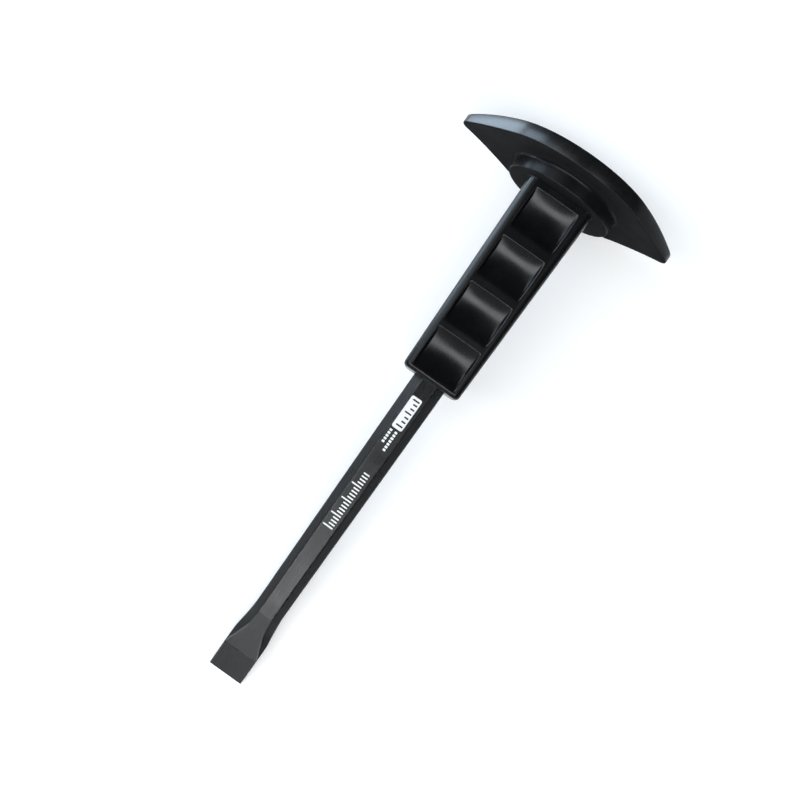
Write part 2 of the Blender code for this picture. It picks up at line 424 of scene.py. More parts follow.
def extrude(along):
    bpy.ops.mesh.extrude_region_move(TRANSFORM_OT_translate={"value": (along, 0.0, 0.0)})


def resize(y, z, x):
    bpy.ops.transform.resize(value=(1.0, y, z), center_override=(x, 0.0, 0.0))


def bevel(offset, segments):
    bpy.ops.mesh.bevel(offset=offset, segments=segments, affect="EDGES")


def crease(value):
    bpy.ops.transform.edge_crease(value=value)


def slice_at(place, normal):
    pick_all()
    bpy.ops.mesh.bisect(plane_co=place, plane_no=normal)


def finish_mesh(piece, kind, **settings):
    """Add a modifier and apply it."""
    only(piece)
    modifier = piece.modifiers.new(kind.lower(), kind)
    for label, value in settings.items():
        setattr(modifier, label, value)
    bpy.ops.object.modifier_apply(modifier=modifier.name)


def subdivide(piece, levels):
    finish_mesh(piece, "SUBSURF", levels=levels, render_levels=levels)


def cut(piece, cutter):
    """Cut one shape out of another, and dissolve the points on the cut that join nothing else."""
    finish_mesh(piece, "BOOLEAN", operation="DIFFERENCE", solver="EXACT", object=cutter)
    bpy.data.objects.remove(cutter, do_unlink=True)
    edit(piece)
    if pick(piece, "VERT", lambda v: len(v.link_edges) == 2):
        bpy.ops.mesh.dissolve_verts()
    close()


def keep_on_points(mesh, name, values):
    mark = mesh.attributes.new(name, "FLOAT", "POINT")
    mark.data.foreach_set("value", values)


def note_surface(piece):
    """Keep on each point how crisp its edge is, and how far it faces the blade and the scallops' side."""
    mesh = piece.data
    bends = [0.0] * len(mesh.vertices)
    for edge in mesh.edges:
        first, second = (mesh.vertices[index] for index in edge.vertices)
        gap = first.co - second.co
        if gap.length < 2 * NEAR:
            continue
        for v, way in ((first, gap), (second, -gap)):
            bend = 2 * v.normal.dot(way) / gap.length_squared
            bends[v.index] = max(bends[v.index], bend)
    along = TOOL.to_3x3().col[0]
    out = TOOL.to_3x3().col[2]
    keep_on_points(mesh, "edge", [min(bend * CRISP_RADIUS, 1.0) for bend in bends])
    keep_on_points(mesh, "to_blade", [max(-v.normal.dot(along), 0.0) for v in mesh.vertices])
    keep_on_points(mesh, "to_face", [abs(v.normal.dot(out)) for v in mesh.vertices])


def lay(piece, from_edge, body, material, node=None):
    """Lay a finished piece into the frame and name its body, its finish and the node that it stands for."""
    only(piece)
    piece.matrix_world = TOOL @ Matrix.Translation((from_edge, 0.0, 0.0))
    bpy.ops.object.transform_apply(location=True, rotation=True, scale=True)
    bpy.ops.object.shade_smooth_by_angle(angle=SHARP)
    note_surface(piece)
    piece.data.materials.clear()
    piece.data.materials.append(material)
    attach(piece, body)
    if node:
        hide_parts(node)


# Steel bar


def shank_size(x):
    """Across flats: the waist's size up to the waist, then a straight taper to the grip."""
    taper = (x - WAIST_FROM_EDGE) / (GRIP_FROM_EDGE - WAIST_FROM_EDGE)
    return blend(WAIST_ACROSS_FLATS, SHANK_ACROSS_FLATS, taper)


def blade_width(x):
    share = blend(0.0, 1.0, (WAIST_FROM_EDGE - x) / FLARE_LENGTH)
    return shank_size(x) + (BLADE_WIDTH - WAIST_ACROSS_FLATS) * share ** FLARE_CURVE


def blade_thickness(x):
    if x <= GROUND_LENGTH:
        return blend(EDGE_THICKNESS, GROUND_THICKNESS, x / GROUND_LENGTH)
    return blend(GROUND_THICKNESS, shank_size(x), (x - GROUND_LENGTH) / FACET_LENGTH)


def corner_cut(x):
    """The octagon's corner cuts run out in a curve to nearly square blade corners."""
    share = blend(0.0, 1.0, (GROUND_LENGTH + SQUARE_LENGTH + CORNER_RUNOUT - x) / CORNER_RUNOUT)
    corner = max(CORNER_SHARE * shank_size(x) * (1 - share ** RUNOUT_CURVE), CORNER_BREAK)
    return min(corner, blade_thickness(x) / 3)


def blade_section(x):
    return blade_width(x), blade_thickness(x), corner_cut(x)


def octagon_section(size):
    return size, size, size * CORNER_SHARE


def octagon_rod(name, size, start, end):
    rod = add_block(name, start, end - start, size, size)
    edit(rod)
    pick(rod, "EDGE", lengthwise)
    bevel(size * CORNER_SHARE, segments=1)
    close()
    return rod


def draw_out(bar, x_old, x, old, new):
    """Extrude the end face to x, then bring its side corners and its face corners to the new section."""
    way = math.copysign(1.0, x - x_old)

    def at_end(face):
        return face.normal.x * way > END_ON and abs(face.calc_center_median().x - x_old) < TOUCH

    def side_corner(v):
        return abs(v.co.x - x) < TOUCH and abs(abs(v.co.y) - width_old / 2) < TOUCH

    def face_corner(v):
        return abs(v.co.x - x) < TOUCH and abs(abs(v.co.z) - thickness_old / 2) < TOUCH

    (width_old, thickness_old, corner_old), (width, thickness, corner) = old, new
    pick(bar, "FACE", at_end)
    extrude(x - x_old)
    pick(bar, "VERT", side_corner)
    resize(width / width_old, (thickness - 2 * corner) / (thickness_old - 2 * corner_old), x)
    pick(bar, "VERT", face_corner)
    resize((width - 2 * corner) / (width_old - 2 * corner_old), thickness / thickness_old, x)


def forge_bar():
    neck = BAR_LENGTH - HEAD_TAPER

    def firm_ring(edge):
        x = middle(edge).x
        at_ground = abs(x - GROUND_LENGTH) < TOUCH
        at_facet = abs(x - FACET_TOP) < TOUCH and abs(direction(edge).y) > MOSTLY
        at_end = x < TOUCH or x > neck - TOUCH
        return crosswise(edge) and (at_ground or at_facet or at_end)

    bar = octagon_rod("bar", SHANK_ACROSS_FLATS, GRIP_FROM_EDGE, neck)
    edit(bar)
    full = octagon_section(SHANK_ACROSS_FLATS)
    draw_out(bar, neck, BAR_LENGTH, full, octagon_section(HEAD_FACE))
    x_old, old = GRIP_FROM_EDGE, full
    for x in BLADE_STATIONS:
        new = blade_section(x)
        draw_out(bar, x_old, x, old, new)
        x_old, old = x, new
    pick(bar, "EDGE", lambda edge: lengthwise(edge, SLANTED))
    crease(LONG_CREASE)
    pick(bar, "EDGE", firm_ring)
    crease(RING_CREASE)
    close()
    subdivide(bar, BAR_SMOOTHING)
    return bar


# Finger grip


def scallop_crests():
    """Upper ends of the scallops. The pitch grows towards the head, as the grip does."""
    lowest = LOWER_LIP + SCALLOP_LENGTH
    mean_pitch = (GRIP_LENGTH - UPPER_LAND - lowest) / (SCALLOP_COUNT - 1)
    crests = [lowest]
    for gap in range(SCALLOP_COUNT - 1):
        growth = (gap - (SCALLOP_COUNT - 2) / 2) * SCALLOP_PITCH_GROWTH
        crests.append(crests[-1] + mean_pitch + growth)
    return crests


def scallop_depth(y, share):
    """Depth at a share of the length below the crest: two round arcs that meet at the deepest line.

    Towards the ends that line lies lower and the bowl is a little shallower, and a hollow rounding ends it.
    """
    off = min(y / SCALLOP_FLOOR, 1.0)
    deepest = 0.5 + SCALLOP_SKEW * off ** 2
    reach = SCALLOP_LENGTH * (deepest if share < deepest else 1 - deepest)
    radius = (reach ** 2 + SCALLOP_DEPTH ** 2) / (2 * SCALLOP_DEPTH)
    along = (share - deepest) * SCALLOP_LENGTH
    depth = math.sqrt(radius ** 2 - along ** 2) - (radius - SCALLOP_DEPTH)
    depth *= 1 - SCALLOP_DISH * off ** SCALLOP_DISH_CURVE
    if y > SCALLOP_FLOOR:
        up_wall = (SCALLOP_HALF - y) / SCALLOP_END_WALL
        depth *= math.sqrt(up_wall * (2 - up_wall))
    return depth


def neck_end():
    return dome_top(NECK_SIDE / 2 + NECK_CLEARANCE)


def round_block():
    """The grip's tapered block, with its roundings and the neck for the shield. It is left in edit mode."""
    grip = add_block("grip", 0.0, GRIP_LENGTH, GRIP_WIDTH_UPPER, GRIP_DEPTH_UPPER)
    edit(grip)
    pick(grip, "VERT", lambda v: v.co.x < TOUCH)
    resize(GRIP_WIDTH_LOWER / GRIP_WIDTH_UPPER, GRIP_DEPTH_LOWER / GRIP_DEPTH_UPPER, 0.0)
    pick(grip, "EDGE", lambda edge: lengthwise(edge) and middle(edge).z > 0)
    bevel(GRIP_FRONT_RADIUS_LOWER, segments=4)
    # The front rounding grows towards the upper end
    swell = GRIP_FRONT_RADIUS_UPPER / GRIP_FRONT_RADIUS_LOWER
    for side in (-1, 1):
        corner = (GRIP_LENGTH, side * GRIP_WIDTH_UPPER / 2, GRIP_DEPTH_UPPER / 2)
        pick(grip, "VERT", lambda v: v.co.x > GRIP_LENGTH - TOUCH and v.co.z > 0 and v.co.y * side > 0)
        bpy.ops.transform.resize(value=(1.0, swell, swell), center_override=corner)
    back = -GRIP_DEPTH_LOWER / 2 + TOUCH
    pick(grip, "EDGE", lambda edge: lengthwise(edge) and middle(edge).z < back)
    bevel(GRIP_BACK_RADIUS, segments=6)
    pick(grip, "EDGE", lambda edge: all(v.co.x < TOUCH for v in edge.verts))
    bevel(GRIP_END_RADIUS, segments=3)
    pick(grip, "FACE", lambda face: face.normal.x > END_ON)
    bpy.ops.mesh.extrude_region_move()
    resize(NECK_SIDE / GRIP_WIDTH_UPPER, NECK_SIDE / GRIP_DEPTH_UPPER, GRIP_LENGTH)
    extrude(neck_end() - GRIP_LENGTH)
    return grip


def slice_grip(crests):
    """Slice the grip along and across, where the scallops need points."""
    columns = [SCALLOP_FLOOR * share for share in DISH_COLUMNS]
    columns += [SCALLOP_HALF - SCALLOP_END_WALL * share for share in WALL_COLUMNS]
    columns.append(SCALLOP_HALF + SCALLOP_SIDE_ROUND)
    for y in [0.0] + columns + [-y for y in columns]:
        slice_at((0.0, y, 0.0), ACROSS)
    rows = []
    for crest in crests:
        rows.append(crest + EDGE_SUPPORT)
        rows.extend(crest - share * SCALLOP_LENGTH for share in SCALLOP_ROWS)
        rows.append(crest - SCALLOP_LENGTH - SCALLOP_LOWER_ROUND)
    rows.append(GRIP_LENGTH - EDGE_SUPPORT)
    for x in rows:
        slice_at((x, 0.0, 0.0), ALONG)


def press_row(grip, x, share):
    """Press one row of the grip's front down to a scallop's depth there."""

    def on_row(v):
        return abs(v.co.x - x) < TOUCH and v.co.z > 0 and abs(v.co.y) < SCALLOP_HALF - TOUCH

    bm = bmesh.from_edit_mesh(grip.data)
    columns = []
    for y in sorted(abs(v.co.y) for v in bm.verts if on_row(v)):
        if not columns or y - columns[-1] > 2 * NEAR:
            columns.append(y)
    for y in columns:
        pick(grip, "VERT", lambda v: on_row(v) and abs(abs(v.co.y) - y) < NEAR)
        bpy.ops.transform.translate(value=(0.0, 0.0, -scallop_depth(y, share)))


def mould_grip():
    crests = scallop_crests()
    shoulders = (GRIP_LENGTH, neck_end())

    def firm_ring(edge):
        start = edge.verts[0].co.x
        return crosswise(edge) and any(abs(start - x) < TOUCH for x in shoulders)

    grip = round_block()
    slice_grip(crests)
    for crest in crests:
        for share in SCALLOP_ROWS[1:-1]:
            press_row(grip, crest - share * SCALLOP_LENGTH, share)
    pick(grip, "EDGE", firm_ring)
    crease(1.0)
    close()
    subdivide(grip, GRIP_SMOOTHING)
    bore = SHANK_ACROSS_FLATS + 2 * BORE_CLEARANCE
    cut(grip, octagon_rod("bar_bore", bore, -CUT_PAST, neck_end() + CUT_PAST))
    return grip


# Knuckle shield


def collar_face():
    return GRIP_LENGTH + SEAT_CLEARANCE


def collar_root():
    return collar_face() + COLLAR_HEIGHT


def dome_top(radius):
    sag = DOME_RADIUS - math.sqrt(DOME_RADIUS ** 2 - radius ** 2)
    return collar_root() + DOME_HEIGHT - sag


def underside_sag(radius):
    return UNDERSIDE_RADIUS - math.sqrt(UNDERSIDE_RADIUS ** 2 - radius ** 2)


def off_axis(v):
    return math.hypot(v.co.y, v.co.z)


def on_collar(v):
    return abs(off_axis(v) - COLLAR_RADIUS) < COLLAR_TOUCH


def add_disc(y, radius, sides):
    return add(
        bpy.ops.mesh.primitive_cylinder_add, "shield", vertices=sides, radius=radius, depth=SHIELD_PLATE,
        location=(collar_root() + SHIELD_PLATE / 2, y, 0.0), rotation=(0.0, math.pi / 2, 0.0),
    )


def shield_plate():
    """Flat plate that spans a large disc and a small one at each end of it. It is left in edit mode."""
    shield = add_disc(0.0, SHIELD_RADIUS, SHIELD_SIDES)
    reach = SHIELD_RADIUS + SHIELD_POINT - SHIELD_END_RADIUS
    join(shield, [add_disc(y, SHIELD_END_RADIUS, SHIELD_END_SIDES) for y in (reach, -reach)])
    edit(shield)
    pick_all()
    bpy.ops.mesh.convex_hull()
    pick_all()
    bpy.ops.mesh.dissolve_limited(angle_limit=FLAT_ENOUGH)
    pick(shield, "EDGE", lambda edge: crosswise(edge) and edge.calc_length() > LONG_RIM)
    bpy.ops.mesh.subdivide(number_cuts=RIM_CUTS)
    return shield


def draw_collar(shield):
    """Draw the underside in to the collar's circle, then the collar out of it."""
    root = collar_root()
    pick(shield, "FACE", lambda face: face.normal.x < -END_ON)
    bpy.ops.mesh.extrude_region_move()
    resize(UNDERSIDE_RING, UNDERSIDE_RING, root)
    bpy.ops.transform.tosphere(value=1.0)
    bm = bmesh.from_edit_mesh(shield.data)
    ring = [off_axis(v) for v in bm.verts if v.select]
    to_collar = COLLAR_RADIUS * len(ring) / sum(ring)
    resize(to_collar, to_collar, root)
    extrude(-COLLAR_HEIGHT)
    pick(shield, "EDGE", lambda edge: all(abs(v.co.x - root) < TOUCH and on_collar(v) for v in edge.verts))
    bevel(COLLAR_FILLET, segments=6)
    lowest = collar_face() + TOUCH
    pick(shield, "EDGE", lambda edge: all(v.co.x < lowest and on_collar(v) for v in edge.verts))
    bevel(COLLAR_EDGE, segments=4)


def raise_dome(shield):
    """Draw the top in over the grip's neck, then bend both sides of the plate to their curves."""
    root = collar_root()

    def spoke(edge):
        start, end = (off_axis(v) for v in edge.verts)
        return crosswise(edge) and abs(start - end) > LONG_SPOKE and min(start, end) < SPOKE_REACH

    pick(shield, "FACE", lambda face: face.normal.x > END_ON)
    bpy.ops.mesh.extrude_region_move()
    resize(DOME_RING, DOME_RING, root + SHIELD_PLATE)
    pick(shield, "EDGE", spoke)
    bpy.ops.mesh.subdivide(number_cuts=SPOKE_CUTS)
    bm = bmesh.from_edit_mesh(shield.data)
    for v in bm.verts:
        if v.co.x > root + SHIELD_PLATE / 2:
            v.co.x = dome_top(off_axis(v))
        elif v.co.x > root - COLLAR_FILLET - TOUCH:
            v.co.x -= underside_sag(off_axis(v))
    bmesh.update_edit_mesh(shield.data)


def neck_hole():
    """Cutter for the grip's neck. It runs further at the top, because the dome's crown is above the neck."""
    side = NECK_SIDE + 2 * NECK_CLEARANCE
    start = GRIP_LENGTH - CUT_PAST
    end = neck_end() + 2 * CUT_PAST
    hole = add_block("neck_hole", start, end - start, side, side)
    edit(hole)
    pick(hole, "EDGE", lengthwise)
    bevel(NECK_RADIUS, segments=6)
    close()
    return hole


def mould_shield():
    shield = shield_plate()
    draw_collar(shield)
    raise_dome(shield)
    pick(shield, "EDGE", lambda edge: len(edge.link_faces) == 2 and edge.calc_face_angle() > SHARP)
    bevel(RIM_BREAK, segments=3)
    pick_all()
    bpy.ops.mesh.normals_make_consistent(inside=False)
    close()
    cut(shield, neck_hole())
    return shield


# White marks on the bar


def upper_flat(x):
    return shank_size(x) / 2


def paint_plate(name, start, length, y, width):
    """Thin plate of paint on the bar's upper flat."""
    plate = add_block(name, start, length, width, PAINT_THICKNESS, y)
    edit(plate)
    for end in (start, start + length):
        pick(plate, "VERT", lambda v: abs(v.co.x - end) < TOUCH)
        rise = upper_flat(end) + PAINT_THICKNESS / 2 - PAINT_SINK
        bpy.ops.transform.translate(value=(0.0, 0.0, rise))
    pick(plate, "EDGE", lambda edge: abs(direction(edge).z) > END_ON)
    bevel(min(length, width) * PAINT_CORNER, segments=3)
    close()
    return plate


def paint_row(name, length, width, places):
    """Paint a plate at the first place and copies of it, each with its own mesh, at the others."""
    first_x, first_y = places[0]
    first = paint_plate(name, first_x, length, first_y, width)
    plates = [first]
    for x, y in places[1:]:
        only(first)
        bpy.ops.object.duplicate()
        plates.append(bpy.context.active_object)
        rise = upper_flat(x) - upper_flat(first_x)
        bpy.ops.transform.translate(value=(x - first_x, y - first_y, rise))
    return plates


def slotted_block():
    block = paint_plate("white_marks", BLOCK_FROM_EDGE, BLOCK_LENGTH, MARKS_ACROSS, BLOCK_WIDTH)
    for place, width in BLOCK_SLOTS:
        x = BLOCK_FROM_EDGE + place
        y = MARKS_ACROSS - (BLOCK_WIDTH - width) / 2 + SLOT_INSET
        cut(block, add_block("slot", x, SLOT_LENGTH, width, SLOT_CUT, y, upper_flat(x)))
    return block


def dash_places():
    first = BLOCK_FROM_EDGE - DASH_GAP - DASH_LENGTH
    places = []
    for y, count in DASH_ROWS:
        places += [(first - dash * DASH_PITCH, MARKS_ACROSS + y) for dash in range(count)]
    return places


def tick_places(width):
    """Places of the ticks of one width. Every fifth tick, and the first, is a long one."""
    y = MARKS_ACROSS - (LONG_TICK - width) / 2
    places = []
    for tick in range(SCALE_TICKS):
        long = tick == 0 or tick % SCALE_STEP == SCALE_STEP - 1
        if long == (width == LONG_TICK):
            places.append((SCALE_FROM_EDGE + tick * SCALE_PITCH, y))
    return places


def paint_marks():
    block = slotted_block()
    plates = paint_row("dash", DASH_LENGTH, DASH_WIDTH, dash_places())
    for width in (LONG_TICK, SHORT_TICK):
        plates += paint_row("tick", TICK_LENGTH, width, tick_places(width))
    join(block, plates)
    return block


# Nodes


def set_sockets(tree, node, sockets):
    """Set or link a node's inputs by name, or by number after an underscore."""
    for label, value in sockets.items():
        key = int(label[1:]) if label[0] == "_" else label.replace("_", " ")
        if isinstance(value, bpy.types.NodeSocket):
            tree.links.new(value, node.inputs[key])
        else:
            node.inputs[key].default_value = value


def wire(tree, kind, settings=None, out=0, **sockets):
    """Add a node, set or link its inputs, and give one of its outputs."""
    node = tree.nodes.new(kind)
    for label, value in (settings or {}).items():
        setattr(node, label, value)
    set_sockets(tree, node, sockets)
    return node.outputs[out]


def calc(tree, operation, first, second=0.0):
    return wire(tree, "ShaderNodeMath", {"operation": operation}, _0=first, _1=second)


def times(tree, first, second):
    return calc(tree, "MULTIPLY", first, second)


def plus(tree, first, second):
    return calc(tree, "ADD", first, second)


def ramp(tree, value, low, high, start=0.0, end=1.0):
    """Straight run from start to end while the value goes from low to high, held outside it."""
    span = {"From_Min": low, "From_Max": high, "To_Min": start, "To_Max": end}
    return wire(tree, "ShaderNodeMapRange", Value=value, **span)


def tint(tree, share, first, second):
    """Colour between two colours."""
    return wire(tree, "ShaderNodeMix", {"data_type": "RGBA"}, out=2, _0=share, _6=first, _7=second)


def noise(tree, vector, scale, detail=2.0, roughness=0.5):
    return wire(tree, "ShaderNodeTexNoise", Vector=vector, Scale=scale, Detail=detail, Roughness=roughness)


def stretched(tree, vector, amount):
    return wire(tree, "ShaderNodeVectorMath", {"operation": "MULTIPLY"}, _0=vector, _1=amount)


def distance(tree, vector):
    return wire(tree, "ShaderNodeVectorMath", {"operation": "LENGTH"}, out="Value", _0=vector)


def object_place(tree):
    return wire(tree, "ShaderNodeTexCoord", out="Object")


def noted(tree, name):
    """What note_surface keeps on the piece's points."""
    return wire(tree, "ShaderNodeAttribute", {"attribute_name": name}, out="Fac")


def new_group(name, inputs, outputs):
    """Node group that takes a place and numbers, and gives numbers."""
    group = bpy.data.node_groups.new(name, "ShaderNodeTree")
    for label in inputs:
        kind = "NodeSocketVector" if label == "Vector" else "NodeSocketFloat"
        group.interface.new_socket(label, in_out="INPUT", socket_type=kind)
    for label in outputs:
        group.interface.new_socket(label, in_out="OUTPUT", socket_type="NodeSocketFloat")
    source = group.nodes.new("NodeGroupInput")
    sink = group.nodes.new("NodeGroupOutput")
    return group, source.outputs, sink.inputs


def use(tree, group, **sockets):
    """Place a group in a material and give its outputs."""
    node = tree.nodes.new("ShaderNodeGroup")
    node.node_tree = group
    set_sockets(tree, node, sockets)
    return node.outputs


def worn_and_highlit_edge_group():
    """Patchy rubbing along the edges, from how crisp they are; the mask is also a painted highlight along
    every crisp edge.
    """
    group, given, result = new_group("worn_edges_and_painted_highlights", ("Edge", "Vector", "Patch Scale"), ("Mask",))
    patches = noise(group, given["Vector"], given["Patch Scale"], detail=4.0, roughness=0.65)
    level = times(group, given["Edge"], ramp(group, patches, *NOISE_SPAN, *EDGE_WEAR_AND_HIGHLIGHT_GAIN))
    group.links.new(ramp(group, level, *EDGE_WEAR_AND_HIGHLIGHT_SPAN), result["Mask"])
    return group


def grain_group():
    """Fine pebbled skin, with slower cloudy patches."""
    inputs = ("Vector", "Grain Scale", "Patch Scale")
    group, given, result = new_group("moulded_grain", inputs, ("Height", "Patches"))
    pebbles = noise(group, given["Vector"], given["Grain Scale"], detail=3.0, roughness=0.6)
    patches = noise(group, given["Vector"], given["Patch Scale"], detail=4.0, roughness=0.6)
    group.links.new(pebbles, result["Height"])
    group.links.new(patches, result["Patches"])
    return group


def scuff_group():
    """Short fine scratches in two directions, broken up, and dull smudges from handling."""
    inputs = ("Vector", "Scuff Scale", "Smudge Scale")
    group, given, result = new_group("handling_scuffs", inputs, ("Scuffs", "Smudges"))
    smudges = noise(group, given["Vector"], given["Smudge Scale"], detail=2.0, roughness=0.5)
    streaks = []
    for turn, stretch in SCRATCH_RUNS:
        turned = wire(group, "ShaderNodeMapping", Vector=given["Vector"], Rotation=turn, Scale=stretch)
        lines = noise(group, turned, given["Scuff Scale"], detail=1.0, roughness=0.4)
        streaks.append(ramp(group, lines, *SCRATCH_SPAN))
    scratches = calc(group, "MAXIMUM", *streaks)
    broken = times(group, scratches, ramp(group, smudges, *SCRATCHED_PATCHES))
    group.links.new(broken, result["Scuffs"])
    group.links.new(ramp(group, smudges, *SMUDGE_SPAN), result["Smudges"])
    return group


WORN_AND_HIGHLIT_EDGES = worn_and_highlit_edge_group()
MOULDED_GRAIN = grain_group()
HANDLING_SCUFFS = scuff_group()


# Materials


def new_material(name, specular):
    """Material, its nodes and shader, and the place on the piece in the tool's own axes."""
    material = bpy.data.materials.new(name)
    material.use_nodes = True
    tree = material.node_tree
    shader = tree.nodes["Principled BSDF"]
    shader.inputs["Specular IOR Level"].default_value = specular
    place = wire(
        tree, "ShaderNodeMapping", {"vector_type": "TEXTURE"},
        Vector=object_place(tree), Location=TOOL.to_translation(), Rotation=(0.0, -TILT, 0.0),
    )
    return material, tree, shader, place


def bump(tree, height, relief):
    return wire(tree, "ShaderNodeBump", Height=height, Distance=relief, Strength=1.0)


def steel_material():
    """Black coated forging: faint mottling, lengthwise drawing lines, worn edges lightened as wear and as a
    painted highlight, and a ground tip.
    """
    material, tree, shader, place = new_material("blackened_steel", STEEL_SPECULAR)
    along = wire(tree, "ShaderNodeSeparateXYZ", Vector=place)
    grain = use(tree, MOULDED_GRAIN, Vector=place, Grain_Scale=2600.0, Patch_Scale=240.0)
    patches = grain["Patches"]
    scuffs = use(tree, HANDLING_SCUFFS, Vector=place, Scuff_Scale=900.0, Smudge_Scale=85.0)
    worn_and_highlit = use(tree, WORN_AND_HIGHLIT_EDGES, Edge=noted(tree, "edge"), Vector=place, Patch_Scale=420.0)["Mask"]
    drawn = noise(tree, stretched(tree, place, DRAWN_STRETCH), 1.0, detail=3.0, roughness=0.6)
    ground = noise(tree, stretched(tree, place, GROUND_STRETCH), 1.0, detail=4.0, roughness=0.7)

    # Ground tip, with a ragged line where it ends and a dark burr on that line
    ragged = plus(tree, along, ramp(tree, patches, *NOISE_SPAN, *GROUND_RAGGED))
    line_start, line_end = (GROUND_LENGTH + blur for blur in GROUND_BLUR)
    tip = ramp(tree, ragged, line_start, line_end, 1.0, 0.0)
    off_line = calc(tree, "ABSOLUTE", calc(tree, "SUBTRACT", ragged, GROUND_LENGTH))
    burr = times(tree, ramp(tree, off_line, *BURR_WIDTH, 1.0, 0.0), ramp(tree, patches, *BURR_PATCHES))

    # Blade facets, rubbed lighter along the drawing lines
    on_blade = ramp(tree, along, FACET_TOP - FACET_BLUR, FACET_TOP, 1.0, 0.0)
    rubbed = times(tree, on_blade, ramp(tree, noted(tree, "to_face"), *FACET_FACING))
    rubbed = times(tree, rubbed, ramp(tree, drawn, *NOISE_SPAN, *FACET_RUBBING))

    coat = tint(tree, ramp(tree, patches, *CLOUD_SPAN), COAT_DARK, COAT_LIGHT)
    bright = tint(tree, ramp(tree, ground, *GROUND_LINES), GROUND_DARK, GROUND_LIGHT)
    colour = tint(tree, tip, tint(tree, rubbed, coat, RUBBED_FACET), bright)
    colour = tint(tree, times(tree, scuffs["Scuffs"], STEEL_SCRATCHES), colour, SCRATCHED_STEEL)
    # Crisp edges lighter, as wear to bare steel and as a painted highlight
    colour = tint(tree, times(tree, worn_and_highlit, STEEL_WEAR_AND_HIGHLIGHT), colour, WORN_AND_HIGHLIT_STEEL)
    colour = tint(tree, times(tree, burr, STEEL_BURR), colour, BURRED_STEEL)

    rough = ramp(tree, scuffs["Smudges"], 0.0, 1.0, *STEEL_ROUGHNESS)
    rough = plus(tree, rough, ramp(tree, drawn, *NOISE_SPAN, *ROUGHNESS_GRAIN))
    rough = plus(tree, rough, times(tree, tip, GROUND_ROUGHER))
    rough = plus(tree, rough, times(tree, burr, BURR_ROUGHER))

    height = plus(tree, times(tree, grain["Height"], SKIN_SHARE), times(tree, drawn, DRAWN_SHARE))
    height = plus(tree, height, times(tree, times(tree, ground, tip), GROUND_SHARE))
    normal = bump(tree, height, STEEL_RELIEF)
    set_sockets(tree, shader, {"Base Color": colour, "Roughness": rough, "Normal": normal})
    return material


def moulded_rubber(name, specular, dark, light, rubbed, rough, relief):
    """Black moulded rubber and its nodes: pebbled skin, cloudy colour, rubbed edges that are wear and a
    painted highlight, and handling smudges.
    """
    material, tree, shader, place = new_material(name, specular)
    grain = use(tree, MOULDED_GRAIN, Vector=place, Grain_Scale=2200.0, Patch_Scale=140.0)
    scuffs = use(tree, HANDLING_SCUFFS, Vector=place, Scuff_Scale=520.0, Smudge_Scale=60.0)
    worn_and_highlit = use(tree, WORN_AND_HIGHLIT_EDGES, Edge=noted(tree, "edge"), Vector=place, Patch_Scale=260.0)["Mask"]
    colour = tint(tree, ramp(tree, grain["Patches"], *CLOUD_SPAN), dark, light)
    colour = tint(tree, times(tree, scuffs["Scuffs"], RUBBER_SCRATCHES), colour, rubbed)
    # Crisp edges take the rubbed colour, as wear and as a painted highlight along crests and corners
    colour = tint(tree, times(tree, worn_and_highlit, RUBBER_WEAR_AND_HIGHLIGHT), colour, rubbed)
    dull = ramp(tree, scuffs["Smudges"], 0.0, 1.0, *rough)
    dull = plus(tree, dull, ramp(tree, grain["Height"], *NOISE_SPAN, *ROUGHNESS_GRAIN))
    normal = bump(tree, grain["Height"], relief)
    set_sockets(tree, shader, {"Base Color": colour, "Roughness": dull, "Normal": normal})
    return material, tree, shader, place, colour


def grip_material():
    return moulded_rubber("grip_rubber", **GRIP_FINISH)[0]


def shield_material():
    """The shield's rubber, with gloss on its dome and rim and dust on its underside."""
    material, tree, shader, place, colour = moulded_rubber("shield_rubber", **SHIELD_FINISH)
    below = noted(tree, "to_blade")
    off = distance(tree, stretched(tree, place, (0.0, 1.0, 1.0)))
    away = ramp(tree, below, *GLOSS_FACING, 1.0, 0.0)
    gloss = times(tree, away, ramp(tree, off, *GLOSS_FROM, *GLOSS_LEVEL))
    dusty = tint(tree, ramp(tree, below, *DUST_FACING), colour, DUST)
    shader.inputs["Coat Roughness"].default_value = GLOSS_ROUGHNESS
    shader.inputs["Coat IOR"].default_value = GLOSS_IOR
    set_sockets(tree, shader, {"Base Color": dusty, "Coat Weight": gloss})
    return material


def paint_material():
    """White printed paint, a little thin and chipped in places."""
    material, tree, shader, place = new_material("white_paint", PAINT_SPECULAR)
    grain = use(tree, MOULDED_GRAIN, Vector=place, Grain_Scale=3800.0, Patch_Scale=900.0)
    chips = ramp(tree, grain["Patches"], *CHIP_PATCHES)
    colour = tint(tree, ramp(tree, grain["Height"], *NOISE_SPAN), PAINT_DARK, PAINT_LIGHT)
    colour = tint(tree, times(tree, chips, CHIP_SHARE), colour, PAINT_CHIP)
    rough = ramp(tree, grain["Height"], *NOISE_SPAN, *PAINT_ROUGHNESS)
    normal = bump(tree, grain["Height"], PAINT_RELIEF)
    set_sockets(tree, shader, {"Base Color": colour, "Roughness": rough, "Normal": normal})
    return material


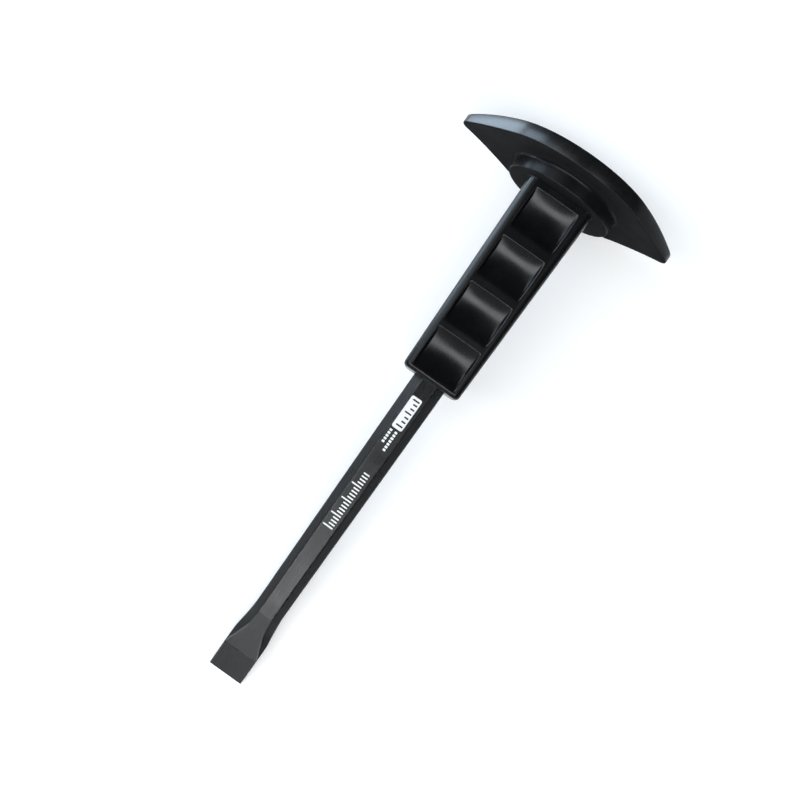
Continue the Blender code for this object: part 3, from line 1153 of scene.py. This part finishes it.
def floor_material():
    """Pale floor: part of its white is its own, more of it far off, so that the shadow stays soft."""
    material = bpy.data.materials.new("pale_floor")
    material.use_nodes = True
    tree = material.node_tree
    tree.nodes.clear()
    here = object_place(tree)
    specks = noise(tree, here, FLOOR_SPECKS, detail=3.0, roughness=0.5)
    colour = tint(tree, specks, FLOOR_DARK, FLOOR_LIGHT)
    diffuse = wire(tree, "ShaderNodeBsdfDiffuse", Color=colour)
    path = tree.nodes.new("ShaderNodeLightPath").outputs
    seen = calc(tree, "MAXIMUM", path["Is Camera Ray"], path["Is Glossy Ray"])
    seen = calc(tree, "MAXIMUM", seen, path["Is Transmission Ray"])
    level = ramp(tree, distance(tree, here), *FLOOR_GLOW_FROM, FLOOR_GLOW, FLOOR_FAR_GLOW)
    glow = wire(tree, "ShaderNodeEmission", Strength=times(tree, seen, level))
    out = tree.nodes.new("ShaderNodeOutputMaterial")
    tree.links.new(wire(tree, "ShaderNodeAddShader", _0=diffuse, _1=glow), out.inputs["Surface"])
    return material


def card_material():
    material = bpy.data.materials.new("black_card")
    material.use_nodes = True
    tree = material.node_tree
    colour = tint(tree, noise(tree, object_place(tree), CARD_WEAVE), CARD_DARK, CARD_LIGHT)
    finish = {"Base Color": colour, "Roughness": CARD_ROUGHNESS}
    set_sockets(tree, tree.nodes["Principled BSDF"], finish)
    return material


# Stage


def make_camera():
    data = bpy.data.cameras.new("camera")
    data.lens = LENS
    data.sensor_width = SENSOR
    camera = bpy.data.objects.new("camera", data)
    bpy.context.scene.collection.objects.link(camera)
    side = Matrix.Rotation(CAMERA_SIDE, 4, "X")
    roll = Matrix.Rotation(CAMERA_ROLL, 4, "Z")
    camera.matrix_world = TOOL @ side @ Matrix.Translation(CAMERA_PLACE) @ roll
    bpy.context.scene.camera = camera


def make_lamp(name, place, aim, size, radiance, colour, wide):
    """Soft box that faces its aim. The second of its sizes runs in the wide direction."""
    back = (Vector(place) - Vector(aim)).normalized()
    run_y = (Vector(wide) - back * back.dot(Vector(wide))).normalized()
    run_x = run_y.cross(back)
    data = bpy.data.lights.new(name, "AREA")
    data.shape = "RECTANGLE"
    data.size, data.size_y = size
    data.energy = radiance * math.pi * size[0] * size[1]
    data.color = colour
    lamp = bpy.data.objects.new(name, data)
    bpy.context.scene.collection.objects.link(lamp)
    lamp.visible_camera = False
    turn = Matrix((run_x, run_y, back)).transposed().to_4x4()
    lamp.matrix_world = TOOL @ Matrix.Translation(place) @ turn


def make_world():
    """Dim room, a little lighter near the horizon."""
    world = bpy.data.worlds.new("studio")
    bpy.context.scene.world = world
    world.use_nodes = True
    tree = world.node_tree
    way = wire(tree, "ShaderNodeTexCoord", out="Generated")
    up = wire(tree, "ShaderNodeSeparateXYZ", out="Z", Vector=way)
    room = tint(tree, ramp(tree, up, 0.0, ROOM_FADE), ROOM_LOW, ROOM_HIGH)
    set_sockets(tree, tree.nodes["Background"], {"Color": room, "Strength": 1.0})


def make_floor():
    floor = add(bpy.ops.mesh.primitive_plane_add, "floor", size=FLOOR_SIZE, location=(0.0, 0.0, 0.0))
    floor.data.materials.append(floor_material())


def make_dark_card():
    """Black card on the right, outside the picture: it keeps the right-hand reflections dark."""
    card = add(
        bpy.ops.mesh.primitive_plane_add, "dark_card", size=1.0, location=CARD_PLACE,
        rotation=(math.pi / 2, 0.0, 0.0), scale=(CARD_LENGTH, CARD_HEIGHT, 1.0),
    )
    card.data.materials.append(card_material())
    card.visible_camera = False
    card.visible_diffuse = False
    card.visible_shadow = False


make_camera()
steel = steel_material()
grip_rubber = grip_material()
shield_rubber = shield_material()
lay(forge_bar(), 0.0, "chisel", steel, "chisel_bar")
lay(paint_marks(), 0.0, "chisel", paint_material())
lay(mould_grip(), GRIP_FROM_EDGE, "hand_guard", grip_rubber, "grip_sleeve")
lay(mould_shield(), GRIP_FROM_EDGE, "hand_guard", shield_rubber, "guard_shield")
make_floor()
make_dark_card()
make_world()
for lamp_name, lamp in LAMPS.items():
    make_lamp(lamp_name, *lamp)

bpy.context.scene.view_settings.view_transform = "Standard"
